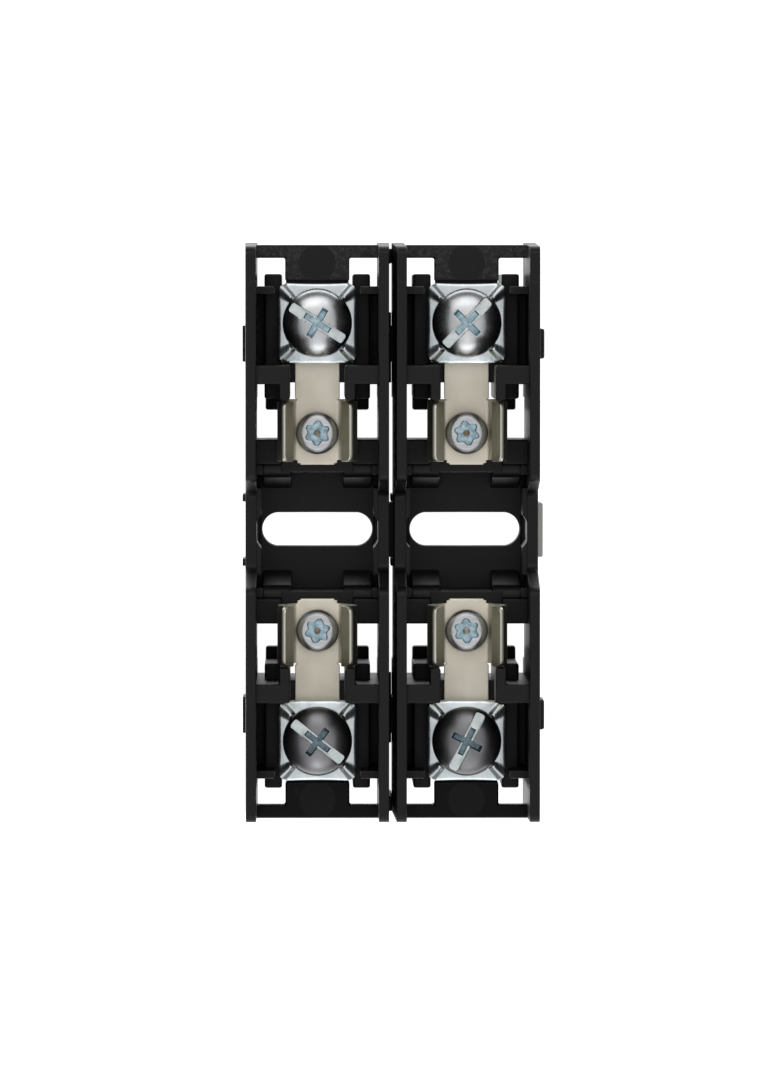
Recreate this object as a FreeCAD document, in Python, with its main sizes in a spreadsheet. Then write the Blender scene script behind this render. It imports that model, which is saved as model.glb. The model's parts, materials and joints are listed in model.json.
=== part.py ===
import FreeCAD, Part
import os
import re
import Sketcher

# Two-pole open holder for midget cartridge fuses, 10.3 x 38.1 mm.
# X runs across the poles, Y along the fuses, Z up from the mounting surface.
# The origin is in the middle of the mounting surface. Both ends of a pole are alike.

doc = FreeCAD.newDocument("FuseHolder")
sheet = doc.addObject("Spreadsheet::Sheet", "dims")

sizes = [
    ("pole_pitch", 20.0),
    # moulded base, measured from the middle of one pole
    ("wall_top", 33.0), ("wall_bite", 0.3), ("wall_inner", 8.15),
    ("wall_outer_top", 9.5), ("wall_outer_foot", 9.85),
    ("end_top", 38.17), ("end_foot", 38.9), ("dip_height", 19.2), ("dip_foot", 5.3), ("dip_head", 7.1),
    ("dip_round", 1.2), ("edge_round", 0.35),
    ("rail_half", 17.8), ("rail_seat", 5.3), ("floor_top", 8.6),
    ("floor_half_x", 7.55), ("floor_half_y", 5.55), ("channel_half", 3.47), ("channel_end", 7.95),
    ("slot_length", 14.9), ("slot_width", 4.56),
    ("driver_radius", 3.25), ("shoulder_head", 7.35), ("shoulder_back", 9.1), ("shoulder_round", 1.1),
    ("deck", 19.2), ("pedestal_half", 4.95), ("pedestal_near", 7.95), ("pedestal_far", 17.6),
    ("side_deck_far", 12.36), ("side_deck_top", 20.0),
    ("bar_near", 19.9), ("bar_far", 22.4), ("bar_inner", 3.65), ("bar_top", 32.0),
    ("stub_outer", 5.05), ("stub_near", 17.8),
    ("box_half", 4.75), ("box_near", 20.0), ("box_far", 33.0), ("core_half", 3.6), ("core_wall", 1.4),
    ("core_depth", 4.0), ("overcut", 1.0), ("overlap", 0.1),
    ("cheek_outer", 7.1), ("cheek_far", 34.57), ("cheek_top", 18.0), ("ledge_top", 12.0),
    ("cross_inner", 5.7), ("cross_near", 31.8), ("cross_far", 32.9), ("cross_top", 24.3),
    ("shelf_top", 20.6), ("shelf_thick", 3.5), ("shelf_near", 36.7), ("shelf_end", 38.45),
    ("tongue_half", 4.31), ("tongue_near", 33.6),
    ("hook_near", 16.1), ("hook_foot", 1.6), ("hook_top", 4.1),
    # fastenings of one pole to the next
    ("key_half", 3.65), ("key_reach", 10.5), ("key_top", 13.0), ("key_play", 0.1), ("key_root", 9.3),
    ("tab_near", 3.85), ("tab_far", 4.85), ("tab_reach", 10.1),
    ("plug_near", 23.1), ("plug_far", 27.2), ("plug_reach", 10.8),
    ("plug_root", 9.1), ("plug_foot", 3.1), ("plug_top", 10.0), ("plug_play", 0.1),
    ("frame_rim", 0.4), ("frame_reach", 10.12), ("spacer_reach", 10.1),
    ("foot_pad_near", 19.8), ("foot_pad_far", 29.4), ("foot_pad_top", 2.4),
    ("end_spacer_near", 36.0), ("end_spacer_far", 38.0), ("end_spacer_top", 14.0),
    # clip strip
    ("strip_thick", 0.8), ("pad_half", 4.85), ("pad_near", 22.7), ("pad_far", 32.8), ("neck_half", 3.0),
    ("clip_near", 9.16), ("clip_tab", 8.95), ("clip_tab_half", 2.3),
    ("jaw_sheet", 0.6), ("jaw_radius", 4.73), ("jaw_axis", 25.2), ("jaw_near", 9.6), ("jaw_far", 17.65),
    ("lip_half", 4.2), ("lip_top", 31.3), ("lip_slant", 0.2),
    # fastenings
    ("clip_screw_y", 13.25), ("clip_head_radius", 2.875), ("clip_head_rise", 1.9),
    ("clip_shank_radius", 1.45), ("clip_shank_length", 8.0),
    ("clip_bore_play", 0.05), ("clip_bore_depth", 8.0), ("clip_hole_play", 0.15),
    ("lobe_outer", 1.75), ("lobe_inner", 1.3), ("lobe_depth", 1.1), ("pin_radius", 0.5),
    ("wire_screw_y", 28.0), ("wire_head_radius", 4.65), ("wire_rim", 0.5), ("wire_dome", 2.8),
    ("wire_shank_radius", 2.41), ("wire_shank_length", 13.0), ("tip_play", 0.4), ("tip_way_depth", 12.0),
    ("point_length", 1.0), ("point_taper", 0.6),
    ("slot_cut", 1.33), ("slot_deep", 1.3), ("cross_reach", 2.55), ("cross_cut", 0.95), ("cross_deep", 1.9),
    ("plate_half", 4.75), ("plate_waist", 5.32), ("plate_corner", 5.42), ("plate_gap", 0.05),
    ("plate_thick", 1.95), ("plate_slope", 0.9),
    ("ridge_start", 4.9), ("ridge_end", 7.1), ("ridge_half", 0.45), ("ridge_rise", 0.3),
    ("hole_radius", 2.6), ("nut_half", 4.0), ("nut_thick", 3.2), ("nut_bore", 2.48), ("nut_play", 0.1),
]
for row, (alias, value) in enumerate(sizes, start=1):
    sheet.set(f"A{row}", alias.replace("_", " "))
    sheet.set(f"B{row}", str(value))
    sheet.setAlias(f"B{row}", alias)
doc.recompute()
aliases = {alias for alias, value in sizes}


def bind(target, path, text):
    """Set a property from a sum of sheet names, such as 'wall_top - deck'."""
    target.setExpression(path, re.sub(r"[a-z]\w*", name_in_sheet, str(text)))


def name_in_sheet(match):
    word = match.group()
    return f"dims.{word}" if word in aliases else word


# ---- Part primitives and booleans ----

def block(name, x_span, y_span, z_span):
    box = doc.addObject("Part::Box", name)
    for size, axis, (low, high) in zip(("Length", "Width", "Height"), "xyz", (x_span, y_span, z_span)):
        bind(box, size, f"({high}) - ({low})")
        bind(box, f"Placement.Base.{axis}", low)
    return box


def rod(name, x, y, radius, z_span):
    cylinder = doc.addObject("Part::Cylinder", name)
    low, high = z_span
    bind(cylinder, "Radius", radius)
    bind(cylinder, "Height", f"({high}) - ({low})")
    bind(cylinder, "Placement.Base.x", x)
    bind(cylinder, "Placement.Base.y", y)
    bind(cylinder, "Placement.Base.z", low)
    return cylinder


def fuse(name, shapes):
    joined = doc.addObject("Part::MultiFuse", name)
    joined.Shapes = shapes
    joined.Refine = True
    return joined


def cut(name, base, tool):
    result = doc.addObject("Part::Cut", name)
    result.Base = base
    result.Tool = tool
    result.Refine = True
    return result


def with_mirror(name, source, normal):
    """Join a shape with its mirror image through the origin."""
    image = doc.addObject("Part::Mirroring", name + "_image")
    image.Source = source
    image.Normal = normal
    return fuse(name, [source, image])


def four_fold(name, shapes):
    """Join the shapes of one quarter and mirror them to all four."""
    quarter = fuse(name + "_quarter", shapes)
    half = with_mirror(name + "_half", quarter, FreeCAD.Vector(1, 0, 0))
    return with_mirror(name, half, FreeCAD.Vector(0, 1, 0))


# ---- PartDesign features ----

def new_body(name):
    return doc.addObject("PartDesign::Body", name)


def new_sketch(body, role, lift="0"):
    sketch = body.newObject("Sketcher::SketchObject", body.Name + "_sketch")
    plane = [part for part in body.Origin.OriginFeatures if part.Role == role][0]
    sketch.AttachmentSupport = [(plane, "")]
    sketch.MapMode = "FlatFace"
    bind(sketch, "AttachmentOffset.Base.z", lift)
    return sketch


def polygon(sketch, corners):
    """Closed outline whose corners are pairs of sums of sheet names."""
    first = sketch.GeometryCount
    count = len(corners)
    places = [(value_of(x), value_of(y)) for x, y in corners]
    for i in range(count):
        start = FreeCAD.Vector(*places[i], 0)
        end = FreeCAD.Vector(*places[(i + 1) % count], 0)
        sketch.addGeometry(Part.LineSegment(start, end), False)
    for i in range(count):
        sketch.addConstraint(Sketcher.Constraint("Coincident", first + i, 2, first + (i + 1) % count, 1))
    for i, (x, y) in enumerate(corners):
        for kind, text, place in (("DistanceX", x, places[i][0]), ("DistanceY", y, places[i][1])):
            constraint = sketch.addConstraint(Sketcher.Constraint(kind, -1, 1, first + i, 1, place))
            bind(sketch, f"Constraints[{constraint}]", text)


def value_of(text):
    return float(sheet.evalExpression(re.sub(r"[a-z]\w*", name_in_sheet, str(text))))


def circle(sketch, y, radius):
    """Circle on the vertical axis of the sketch."""
    shape = Part.Circle(FreeCAD.Vector(0, value_of(y), 0), FreeCAD.Vector(0, 0, 1), value_of(radius))
    index = sketch.addGeometry(shape, False)
    for kind, text in (("DistanceX", "0"), ("DistanceY", y)):
        constraint = sketch.addConstraint(Sketcher.Constraint(kind, -1, 1, index, 3, value_of(text)))
        bind(sketch, f"Constraints[{constraint}]", text)
    constraint = sketch.addConstraint(Sketcher.Constraint("Radius", index, value_of(radius)))
    bind(sketch, f"Constraints[{constraint}]", radius)


def pad(body, sketch, length, reverse=False):
    feature = body.newObject("PartDesign::Pad", body.Name + "_pad")
    feature.Profile = sketch
    feature.Reversed = reverse
    bind(feature, "Length", length)
    return feature


def pocket(body, sketch, length=None):
    """Cut down from the sketch, or both ways through everything when no length is given."""
    feature = body.newObject("PartDesign::Pocket", body.Name + "_pocket")
    feature.Profile = sketch
    if length is None:
        feature.Type = "ThroughAll"
        feature.Midplane = True
    else:
        bind(feature, "Length", length)
    return feature


def turn(body, sketch):
    feature = body.newObject("PartDesign::Revolution", body.Name + "_turning")
    feature.Profile = sketch
    feature.ReferenceAxis = (sketch, ["V_Axis"])
    feature.Angle = 360
    return feature


def fillet(body, radius, chosen):
    """Round the edges of the body so far whose bounding box passes the test."""
    doc.recompute()
    base = body.Tip
    names = [f"Edge{i}" for i, edge in enumerate(base.Shape.Edges, start=1) if chosen(edge.BoundBox)]
    feature = body.newObject("PartDesign::Fillet", body.Name + "_fillet")
    feature.Base = (base, names)
    bind(feature, "Radius", radius)
    return feature


# ---- moulded base ----

def side_wall(name):
    """Long side wall on the +X side, +Y half: drafted outside, low in the middle, rounded corners."""
    body = new_body(name)
    profile = new_sketch(body, "YZ_Plane", "wall_inner")
    polygon(profile, [
        ("0", "0"), ("end_foot", "0"), ("end_top", "wall_top"),
        ("dip_head", "wall_top"), ("dip_foot", "dip_height"), ("0", "dip_height")])
    pad(body, profile, "wall_outer_foot - wall_inner")
    draft = new_sketch(body, "XZ_Plane")
    polygon(draft, [
        ("wall_outer_foot", "0"), ("wall_outer_foot + overcut", "wall_top + overcut"),
        ("wall_outer_top", "wall_top + overcut"), ("wall_outer_top", "wall_top")])
    pocket(body, draft)
    top, end = value_of("wall_top"), value_of("end_top")
    dip = value_of("dip_height")
    fillet(body, "dip_round", lambda box: box.YLength < 0.01 and box.ZLength < 0.01 and (
        abs(box.ZMin - top) < 0.01 or (abs(box.ZMin - dip) < 0.01 and box.YMin > 1)))
    fillet(body, "edge_round", lambda box: box.YMin > end - 3 and box.ZMax > 1 and box.XLength < 0.5
           or (box.ZMin > top - 0.01 and box.YLength > 10))
    return body


def shoulder(name):
    """Block beside the middle channel, leaning back, with a round top edge."""
    body = new_body(name)
    profile = new_sketch(body, "YZ_Plane", "channel_half")
    polygon(profile, [
        ("floor_half_y", "rail_seat"), ("shoulder_back", "rail_seat"), ("shoulder_back", "deck"),
        ("shoulder_head", "deck"), ("floor_half_y", "floor_top")])
    pad(body, profile, "wall_inner + wall_bite - channel_half")
    front = value_of("shoulder_head")
    fillet(body, "shoulder_round", lambda box: (
        box.XLength > 1 and box.ZMin > 10 and abs(box.YMin - front) < 0.01))
    return body


def base_module(label, x_place):
    tag = label[-1]
    into_wall = "wall_inner + wall_bite"
    shelf_z = ("shelf_top - shelf_thick", "shelf_top")
    slot_centre = "(slot_length - slot_width) / 2"
    solids = [
        side_wall("wall_" + tag),
        block("middle_wall_" + tag, ("floor_half_x", into_wall), ("0", "floor_half_y + overlap"),
              ("rail_seat", "dip_height")),
        block("floor_" + tag, ("0", "floor_half_x + overlap"), ("0", "floor_half_y + overlap"),
              ("rail_seat", "floor_top")),
        block("channel_" + tag, ("0", "channel_half + overlap"), ("0", "channel_end + overlap"),
              ("rail_seat", "floor_top")),
        shoulder("shoulder_" + tag),
        block("pedestal_" + tag, ("0", "pedestal_half"), ("pedestal_near", "pedestal_far"),
              ("rail_seat", "deck")),
        block("side_deck_" + tag, ("pedestal_half - overlap", into_wall),
              ("shoulder_back - overlap", "side_deck_far"), ("rail_seat", "side_deck_top")),
        block("bar_" + tag, ("bar_inner", into_wall), ("bar_near", "bar_far"), ("0", "bar_top")),
        block("stub_" + tag, ("bar_inner", "stub_outer"), ("stub_near", "bar_near + overlap"),
              ("rail_seat", "bar_top")),
        block("nut_box_" + tag, ("0", "box_half + overlap"), ("box_near", "box_far"), ("0", "deck")),
        block("cheek_" + tag, ("box_half", "cheek_outer"), ("rail_half", "cheek_far"), ("0", "cheek_top")),
        block("ledge_" + tag, ("cheek_outer - overlap", into_wall),
              ("bar_far - overlap", "cross_near + overlap"), ("0", "ledge_top")),
        block("cross_bar_" + tag, ("cross_inner", into_wall), ("cross_near", "cross_far"),
              ("0", "cross_top")),
        block("end_bar_" + tag, ("0", into_wall), ("shelf_near", "shelf_end"), shelf_z),
        block("tongue_" + tag, ("0", "tongue_half"), ("tongue_near", "shelf_near + overlap"), shelf_z),
        block("tongue_root_" + tag, ("0", "tongue_half"), ("box_far - overlap", "tongue_near + overlap"),
              ("shelf_top - shelf_thick", "deck")),
        block("hook_" + tag, ("box_half", "cheek_outer"), ("hook_near", "rail_half + overlap"),
              ("hook_foot", "hook_top")),
    ]
    cuts = [
        block("slot_" + tag, ("0", slot_centre), ("0", "slot_width / 2"), ("0", "floor_top + overcut")),
        rod("slot_end_" + tag, slot_centre, "0", "slot_width / 2", ("0", "floor_top + overcut")),
        rod("driver_way_" + tag, slot_centre, "0", "driver_radius", ("floor_top", "wall_top")),
        block("rail_" + tag, ("floor_half_x - overcut", "wall_outer_foot + overcut"), ("0", "rail_half"),
              ("-overcut", "rail_seat")),
        rod("clip_bore_" + tag, "0", "clip_screw_y", "clip_shank_radius + clip_bore_play",
            ("deck - clip_bore_depth", "deck + overcut")),
        block("clip_core_" + tag, ("0", "core_half"),
              ("channel_end + core_wall", "pedestal_far - core_wall"),
              ("rail_seat - overcut", "rail_seat + core_depth")),
        block("nut_seat_" + tag, ("0", "nut_half + nut_play"),
              ("wire_screw_y - nut_half - nut_play", "wire_screw_y + nut_half + nut_play"),
              ("deck - nut_thick - nut_play", "deck + overcut")),
        rod("tip_way_" + tag, "0", "wire_screw_y", "wire_shank_radius + tip_play",
            ("deck - tip_way_depth", "deck")),
        block("nut_core_" + tag, ("0", "core_half"), ("box_near + core_wall", "box_far - core_wall"),
              ("-overcut", "core_depth")),
    ]
    core = cut("core_" + tag, four_fold("solids_" + tag, solids), four_fold("cuts_" + tag, cuts))

    # the +X face carries a key, plugs and spacers, and the -X face tabs and framed seats
    framed = fuse("framed_" + tag, [
        core,
        *pair("frame_" + tag, ("-frame_reach", "-plug_root"),
              ("plug_near - frame_rim", "plug_far + frame_rim"),
              ("plug_foot - frame_rim", "plug_top + frame_rim")),
    ])
    keys = fuse("keys_" + tag, [
        block("key_" + tag, ("wall_outer_top - wall_bite", "key_reach"), ("-key_half", "key_half"),
              ("rail_seat", "key_top")),
        *pair("plug_" + tag, ("wall_outer_top", "plug_reach"), ("plug_near", "plug_far"),
              ("plug_foot", "plug_top")),
        *pair("foot_pad_" + tag, ("wall_outer_top", "spacer_reach"), ("foot_pad_near", "foot_pad_far"),
              ("0", "foot_pad_top")),
        *pair("end_spacer_" + tag, ("wall_outer_top - wall_bite", "spacer_reach"),
              ("end_spacer_near", "end_spacer_far"), ("0", "end_spacer_top")),
        *pair("tab_" + tag, ("-tab_reach", "-(wall_outer_top - wall_bite)"), ("tab_near", "tab_far"),
              ("rail_seat", "key_top")),
    ])
    seats = fuse("seats_" + tag, [
        block("key_seat_" + tag, ("-wall_outer_foot - overcut", "-key_root"),
              ("-key_half - key_play", "key_half + key_play"),
              ("rail_seat - overcut", "key_top + key_play")),
        *pair("plug_seat_" + tag, ("-wall_outer_foot - overcut", "-plug_root"),
              ("plug_near - plug_play", "plug_far + plug_play"),
              ("plug_foot - plug_play", "plug_top + plug_play")),
    ])
    seated = cut("seated_" + tag, framed, seats)
    base = fuse(label, [seated, keys])
    base.Label = label
    bind(base, "Placement.Base.x", x_place)
    return base


def pair(name, x_span, y_span, z_span):
    """The same block at both ends of the pole."""
    near, far = y_span
    return [block(name + "_line", x_span, (near, far), z_span),
            block(name + "_load", x_span, (f"-({far})", f"-({near})"), z_span)]


# ---- metal parts, each modelled for the +Y end of a pole ----

def clip_strip(label):
    """Wiring pad, neck and clip in one strip, with two spring jaws."""
    body = new_body(label)
    outline = new_sketch(body, "XY_Plane", "deck")
    right = [("clip_tab_half", "clip_tab"), ("clip_tab_half", "clip_near"), ("neck_half", "clip_near"),
             ("neck_half", "pad_near"), ("pad_half", "pad_near"), ("pad_half", "pad_far")]
    left = [(f"-{x}", y) for x, y in reversed(right)]
    polygon(outline, right + left)
    pad(body, outline, "strip_thick")
    section = new_sketch(body, "XZ_Plane", "-jaw_near")
    angles = (-40, -22, -4, 14, 30, 45)
    outer = [arc_corner("jaw_radius + jaw_sheet", angle) for angle in angles]
    inner = [arc_corner("jaw_radius", angle) for angle in reversed(angles)]
    foot = [("neck_half - strip_thick", "deck"), ("neck_half + jaw_sheet / 2", "deck")]
    lip = [("lip_half + jaw_sheet", "lip_top"), ("lip_half", "lip_top + lip_slant")]
    heel = [("neck_half", "deck + strip_thick"), ("neck_half - strip_thick", "deck + strip_thick")]
    polygon(section, foot + outer + lip + inner + heel)
    jaw = pad(body, section, "jaw_far - jaw_near", reverse=True)
    doc.recompute()
    both = body.newObject("PartDesign::Mirrored", body.Name + "_mirror")
    both.Originals = [jaw]
    both.MirrorPlane = ([part for part in body.Origin.OriginFeatures if part.Role == "YZ_Plane"][0], [""])
    body.Tip = both
    clip_hole = "clip_shank_radius + clip_hole_play"
    for y, radius in (("wire_screw_y", "hole_radius"), ("clip_screw_y", clip_hole)):
        hole = new_sketch(body, "XY_Plane", "deck")
        circle(hole, y, radius)
        pocket(body, hole)
    return body


def arc_corner(radius, angle):
    return f"({radius}) * cos({angle} deg)", f"jaw_axis + ({radius}) * sin({angle} deg)"


def shank(seat, radius, length):
    """Half outline of a pointed shank, from the tip on the axis up to the underside of the head."""
    tip = f"{seat} - {length}"
    return [("0", tip), (f"{radius} - point_taper", tip), (radius, f"{tip} + point_length"), (radius, seat)]


def clip_screw(label):
    """Pan head screw with a six-lobe recess round a pin."""
    body = new_body(label)
    half = new_sketch(body, "XZ_Plane", "0")
    seat = "deck + strip_thick"
    # shares of the head's radius and rise
    curve = ((1, 0), (1, 0.5), (0.85, 0.86), (0.62, 1), (0, 1))
    polygon(half, shank(seat, "clip_shank_radius", "clip_shank_length") + [
        (f"clip_head_radius * {across}", f"{seat} + clip_head_rise * {up}") for across, up in curve])
    turn(body, half)
    recess = new_sketch(body, "XY_Plane", f"{seat} + clip_head_rise")
    star = []
    for i in range(12):
        reach = "lobe_outer" if i % 2 == 0 else "lobe_inner"
        star.append((f"{reach} * cos({30 * i} deg)", f"{reach} * sin({30 * i} deg)"))
    polygon(recess, star)
    circle(recess, "0", "pin_radius")
    pocket(body, recess, "lobe_depth")
    return body


def plate_outline(sketch, inset):
    """Square with hollow sides and cut corners, drawn in by the inset."""
    half, corner, waist = (f"({size} - {inset})" for size in ("plate_half", "plate_corner", "plate_waist"))
    quarter = [(corner, half), (half, corner), ("0", waist)]
    outline = []
    for turns in range(4):
        outline += quarter
        quarter = [(f"-({y})", x) for x, y in quarter]
    polygon(sketch, outline)


def pressure_plate(label):
    """Square wire clamp with sloping sides and a raised ridge to each corner."""
    body = new_body(label)
    foot = "deck + strip_thick + plate_gap"
    outline = new_sketch(body, "XY_Plane", foot)
    plate_outline(outline, "0")
    pad(body, outline, "plate_thick - plate_slope")
    lower = new_sketch(body, "XY_Plane", f"{foot} + plate_thick - plate_slope")
    plate_outline(lower, "0")
    upper = new_sketch(body, "XY_Plane", f"{foot} + plate_thick")
    plate_outline(upper, "plate_slope")
    doc.recompute()
    slope = body.newObject("PartDesign::AdditiveLoft", body.Name + "_slope")
    slope.Profile = lower
    slope.Sections = [upper]
    slope.Ruled = True
    ridge = new_sketch(body, "XY_Plane", "deck + strip_thick + plate_gap + plate_thick - plate_slope")
    side, start, end = (f"{size} * cos(45 deg)" for size in ("ridge_half", "ridge_start", "ridge_end"))
    polygon(ridge, [(f"{start} + {side}", f"{start} - {side}"), (f"{end} + {side}", f"{end} - {side}"),
                    (f"{end} - {side}", f"{end} + {side}"), (f"{start} - {side}", f"{start} + {side}")])
    raised = pad(body, ridge, "plate_slope + ridge_rise")
    doc.recompute()
    around = body.newObject("PartDesign::PolarPattern", body.Name + "_ridges")
    around.Originals = [raised]
    around.Axis = ([part for part in body.Origin.OriginFeatures if part.Role == "Z_Axis"][0], [""])
    around.Angle = 360
    around.Occurrences = 4
    body.Tip = around
    hole = new_sketch(body, "XY_Plane", "deck")
    circle(hole, "0", "hole_radius")
    pocket(body, hole)
    return body


def terminal_screw(label):
    """Domed head with a slot right across and a cross recess."""
    body = new_body(label)
    half = new_sketch(body, "XZ_Plane", "0")
    seat = "deck + strip_thick + plate_gap + plate_thick"
    head = [("wire_head_radius", seat)]
    for across in (1, 0.97, 0.88, 0.7, 0.45, 0):
        rise = f"wire_rim + (wire_dome - wire_rim) * sqrt(1 - {across} ^ 2)"
        head.append((f"wire_head_radius * {across}", f"{seat} + {rise}"))
    polygon(half, shank(seat, "wire_shank_radius", "wire_shank_length") + head)
    turn(body, half)
    rectangles = (("wire_head_radius + overcut", "slot_cut / 2", "slot_deep"),
                  ("cross_reach", "cross_cut / 2", "cross_deep"),
                  ("cross_cut / 2", "cross_reach", "cross_deep"))
    for reach_x, reach_y, depth in rectangles:
        recess = new_sketch(body, "XY_Plane", f"{seat} + wire_dome")
        polygon(recess, [(reach_x, reach_y), (f"-({reach_x})", reach_y),
                         (f"-({reach_x})", f"-({reach_y})"), (reach_x, f"-({reach_y})")])
        pocket(body, recess, depth)
    return body


def terminal_nut(label):
    body = new_body(label)
    outline = new_sketch(body, "XY_Plane", "deck - nut_thick")
    polygon(outline, [("nut_half", "nut_half"), ("-nut_half", "nut_half"),
                      ("-nut_half", "-nut_half"), ("nut_half", "-nut_half")])
    circle(outline, "0", "nut_bore")
    pad(body, outline, "nut_thick - plate_gap")
    return body


# ---- assembly ----

nodes = []
slot_angles = {("line", 1): -32, ("line", 2): 46, ("load", 1): -38, ("load", 2): 63}
for pole, side in ((1, -1), (2, 1)):
    pole_x = f"{side} * pole_pitch / 2"
    nodes.append(base_module(f"base_pole_{pole}", pole_x))
    for end, turned, sign in (("line", 0, 1), ("load", 180, -1)):
        tail = f"{end}_{pole}"
        makers = (
            (clip_strip, "fuse_clip_", None, turned),
            (clip_screw, "clip_screw_", "clip_screw_y", turned + 15 * pole),
            (pressure_plate, "pressure_plate_", "wire_screw_y", turned),
            (terminal_screw, "terminal_screw_", "wire_screw_y", slot_angles[end, pole]),
            (terminal_nut, "terminal_nut_", "wire_screw_y", turned),
        )
        for maker, stem, y_place, angle in makers:
            node = maker(stem + tail)
            node.Label = stem + tail
            node.Placement.Rotation = FreeCAD.Rotation(FreeCAD.Vector(0, 0, 1), angle)
            bind(node, "Placement.Base.x", pole_x)
            if y_place:
                bind(node, "Placement.Base.y", f"{sign} * {y_place}")
            nodes.append(node)
doc.recompute()

# ---- checks and export ----

for thing in doc.Objects:
    if {"Invalid", "Error"} & set(thing.State):
        raise RuntimeError(f"{thing.Label} failed: {thing.State}")
os.makedirs("parts", exist_ok=True)
for node in nodes:
    if node.Shape.isNull() or not node.Shape.isValid():
        raise RuntimeError(f"{node.Label} has no valid shape")
    if len(node.Shape.Solids) != 1:
        raise RuntimeError(f"{node.Label} has {len(node.Shape.Solids)} solids")
    node.Shape.exportStep(f"parts/{node.Label}.step")
    box = node.Shape.BoundBox
    print(f"{node.Label}: {node.Shape.Volume:.0f} mm3, x {box.XMin:.2f} {box.XMax:.2f},"
          f" y {box.YMin:.2f} {box.YMax:.2f}, z {box.ZMin:.2f} {box.ZMax:.2f}")
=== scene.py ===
import json
import math
import bpy
import bmesh
from mathutils import Matrix, Vector

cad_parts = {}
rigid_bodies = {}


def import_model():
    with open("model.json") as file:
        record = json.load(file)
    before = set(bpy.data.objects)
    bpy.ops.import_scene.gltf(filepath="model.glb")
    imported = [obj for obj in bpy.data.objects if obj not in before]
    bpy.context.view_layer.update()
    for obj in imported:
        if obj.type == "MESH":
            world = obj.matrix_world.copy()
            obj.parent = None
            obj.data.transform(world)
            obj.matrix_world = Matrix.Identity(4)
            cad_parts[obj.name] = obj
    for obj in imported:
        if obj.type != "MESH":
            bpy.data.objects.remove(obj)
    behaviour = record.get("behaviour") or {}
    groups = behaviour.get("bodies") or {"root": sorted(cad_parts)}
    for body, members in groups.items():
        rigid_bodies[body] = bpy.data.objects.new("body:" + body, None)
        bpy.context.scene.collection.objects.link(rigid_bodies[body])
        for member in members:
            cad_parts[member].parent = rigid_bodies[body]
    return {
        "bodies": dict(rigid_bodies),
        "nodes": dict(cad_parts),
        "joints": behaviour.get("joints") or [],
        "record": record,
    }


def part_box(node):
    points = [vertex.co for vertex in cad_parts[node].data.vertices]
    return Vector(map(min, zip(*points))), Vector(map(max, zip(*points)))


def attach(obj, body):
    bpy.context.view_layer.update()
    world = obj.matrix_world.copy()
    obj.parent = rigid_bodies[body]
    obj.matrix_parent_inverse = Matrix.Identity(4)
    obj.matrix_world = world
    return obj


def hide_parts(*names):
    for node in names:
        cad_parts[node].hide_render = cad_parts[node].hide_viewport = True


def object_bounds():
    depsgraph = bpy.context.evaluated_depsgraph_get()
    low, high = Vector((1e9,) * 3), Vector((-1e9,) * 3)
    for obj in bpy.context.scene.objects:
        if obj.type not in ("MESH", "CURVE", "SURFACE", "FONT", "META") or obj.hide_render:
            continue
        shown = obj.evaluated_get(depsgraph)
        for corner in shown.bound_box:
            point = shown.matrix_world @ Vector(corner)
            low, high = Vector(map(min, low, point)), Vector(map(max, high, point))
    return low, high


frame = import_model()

mm = 0.001
cadBox = [list(corner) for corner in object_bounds()]
poles = (1, 2)
ends = {"line": 0, "load": 180}     # how far each end's parts are turned about Z


def middle(node):
    low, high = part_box(node)
    return (low + high) / 2


# shader wiring: an expression on values adds Math nodes

class Value:
    def __init__(self, wiring, socket):
        self.wiring = wiring
        self.socket = socket

    def join(self, operation, first, second):
        return self.wiring.add("ShaderNodeMath", {"operation": operation}, {0: first, 1: second})

    def __add__(self, other):
        return self.join("ADD", self, other)

    def __sub__(self, other):
        return self.join("SUBTRACT", self, other)

    def __mul__(self, other):
        return self.join("MULTIPLY", self, other)

    def __rsub__(self, other):
        return self.join("SUBTRACT", other, self)

    def __abs__(self):
        return self.join("ABSOLUTE", self, 0)

    __radd__ = __add__
    __rmul__ = __mul__


class Wiring:
    def __init__(self, tree):
        self.tree = tree

    # settings go first, because some of them change which sockets a node has
    def add(self, kind, settings=None, inputs=None, output=0):
        node = self.tree.nodes.new(kind)
        for key, setting in (settings or {}).items():
            if key == "ramp":
                for stop, (position, grey) in zip(node.color_ramp.elements, setting):
                    stop.position = position
                    stop.color = (grey, grey, grey, 1)
            else:
                setattr(node, key, setting)
        for key, value in (inputs or {}).items():
            self.connect(value, node.inputs[key])
        return Value(self, node.outputs[output])

    def connect(self, value, socket):
        if isinstance(value, Value):
            self.tree.links.new(value.socket, socket)
        elif socket.type == "RGBA" and len(value) == 3:
            socket.default_value = (*value, 1)
        else:
            socket.default_value = value

    def ramp(self, value, low, high):
        return self.add("ShaderNodeValToRGB", {"ramp": ((low, 0), (high, 1))}, {"Fac": value})


class Shader(Wiring):
    def __init__(self, name):
        self.material = bpy.data.materials.new(name)
        self.material.use_nodes = True
        super().__init__(self.material.node_tree)
        self.surface = self.tree.nodes["Principled BSDF"]
        self.place = self.add("ShaderNodeTexCoord", output="Object")

    def noise(self, scale, detail=3, stretch=(1, 1, 1), rough=0.5):
        place = self.add("ShaderNodeMapping", None, {"Vector": self.place, "Scale": stretch})
        return self.add("ShaderNodeTexNoise", None,
                        {"Vector": place, "Scale": scale, "Detail": detail, "Roughness": rough})

    def blend(self, mask, first, second):
        return self.add("ShaderNodeMix", {"data_type": "RGBA"}, {0: mask, 6: first, 7: second}, output=2)

    def bump(self, height, strength, distance):
        return self.add("ShaderNodeBump", None,
                        {"Height": height, "Strength": strength, "Distance": distance})

    def finish(self, **sockets):
        for key, value in sockets.items():
            self.connect(value, self.surface.inputs[key.replace("_", " ")])
        return self.material


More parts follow.
